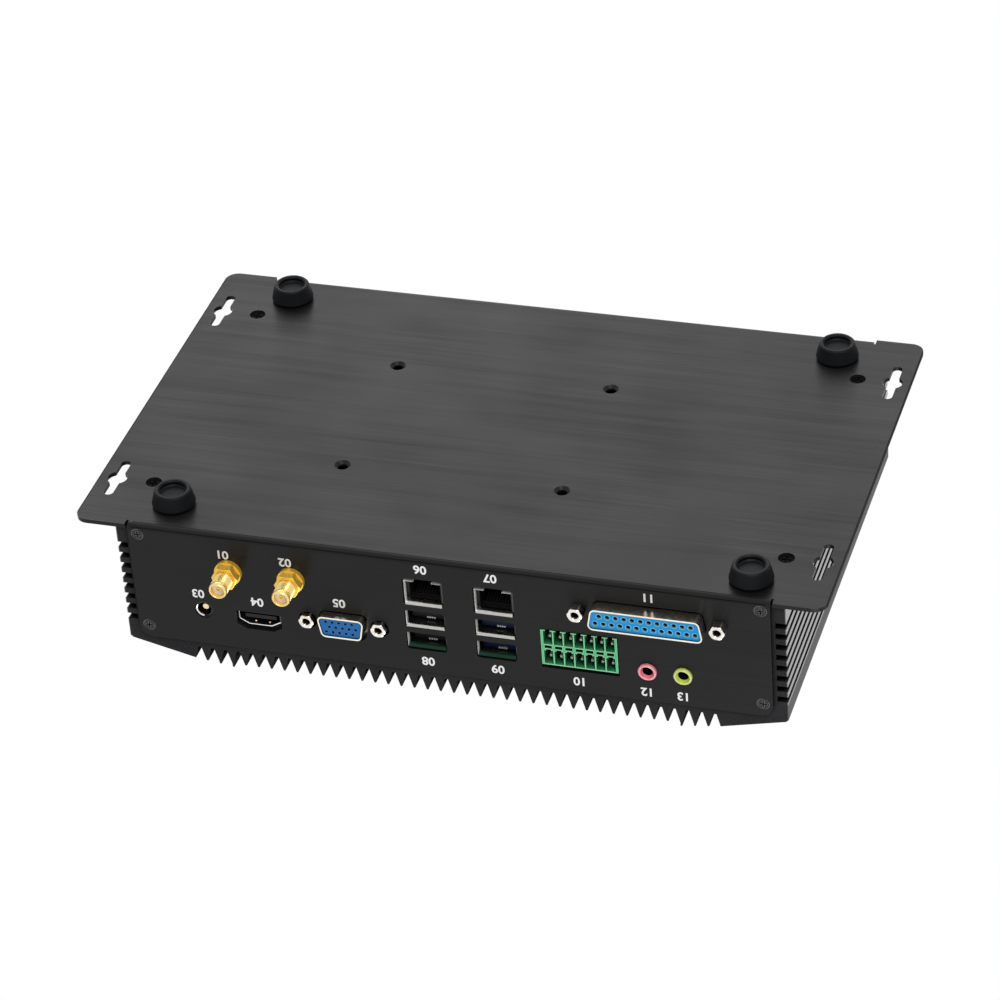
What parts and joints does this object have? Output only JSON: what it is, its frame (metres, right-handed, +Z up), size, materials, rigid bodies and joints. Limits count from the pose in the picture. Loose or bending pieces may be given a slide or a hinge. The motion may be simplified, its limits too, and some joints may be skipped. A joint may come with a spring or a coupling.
{
  "type": "barebone pc",
  "caption": "Fanless box computer: a finned aluminium cover on a folded base pan with ears, feet, rear ports, antenna jacks and a sprung power button",
  "frame": {"origin": "middle of the bounding box in X and Y, on the floor under the feet in Z", "axes": "+X to the right seen from the front panel with the button, +Y out of the rear panel with the ports, +Z up through the fins; the picture shows the part upside down"},
  "size_m": [0.255, 0.1688, 0.0617],
  "materials": {
    "anodised_pan": "brushed, black anodised",
    "anodised_cover": "extruded, satin black anodised, bare fin tips",
    "black_steel": "black oxide",
    "dark_steel": "dark nickel plated",
    "foot_rubber": "matt",
    "gold": "gold plated, polished",
    "nickel": "nickel plated",
    "white_plastic": "smooth",
    "black_plastic": "moulded, satin",
    "blue_plastic": "moulded",
    "light_blue_plastic": "moulded",
    "deep_blue_plastic": "moulded",
    "green_plastic": "moulded",
    "pink_plastic": "moulded",
    "yellow_plastic": "moulded",
    "board": "glass-fibre board with green mask",
    "bright_steel": "zinc plated",
    "bare_aluminium": "milled",
    "grey_pad": "soft silicone",
    "chip_black": "moulded package",
    "lead_black": "jacket",
    "ribbon_grey": "flat cable jacket",
    "button_metal": "turned, satin",
    "lens_clear": "translucent"
  },
  "bodies": {
    "case": {"base_pan": "anodised_pan", "heatsink_cover": "anodised_cover", "base_screws": "black_steel", "panel_screws": "dark_steel", "foot_front_left": "foot_rubber", "foot_front_right": "foot_rubber", "foot_rear_left": "foot_rubber", "foot_rear_right": "foot_rubber", "antenna_jack_1": "gold", "antenna_jack_2": "gold", "antenna_washers": "gold", "antenna_nuts": "gold", "antenna_cores": "white_plastic", "inlet_housing": "black_plastic", "inlet_sleeve": "nickel", "inlet_pin": "nickel", "video_shell": "nickel", "video_tongue": "black_plastic", "vga_shell": "nickel", "vga_insert": "blue_plastic", "lpt_shell": "nickel", "lpt_insert": "light_blue_plastic", "hexagon_posts": "nickel", "stack_shell_1": "nickel", "stack_shell_2": "nickel", "usb_tongues_1": "black_plastic", "usb_tongues_2": "deep_blue_plastic", "lan_liners": "black_plastic", "lan_blocks": "black_plastic", "lan_contacts": "gold", "terminal_header": "green_plastic", "terminal_pins": "nickel", "audio_jack_1": "pink_plastic", "audio_jack_2": "yellow_plastic", "main_board": "board", "board_spacers": "bright_steel", "board_screws": "bright_steel", "processor": "chip_black", "heat_pad": "grey_pad", "heat_block": "bare_aluminium", "memory_socket": "black_plastic", "card_slot": "black_plastic", "wireless_card": "board", "antenna_lead_1": "lead_black", "antenna_lead_2": "lead_black", "coin_cell": "nickel", "coin_holder": "black_plastic", "power_chokes": "chip_black", "power_capacitors": "chip_black", "lpt_lead": "ribbon_grey", "front_board": "board", "front_spacers": "bright_steel", "front_screws": "bright_steel", "power_switch": "black_plastic", "power_lens": "lens_clear", "drive_lens": "lens_clear"},
    "button": {"power_button": "button_metal"}
  },
  "joints": [
    {"name": "button_press", "type": "slide", "parent": "case", "child": "button", "axis": [0, 1, 0], "range_m": [0, 0.0012], "stiffness_N_per_m": 300}
  ]
}
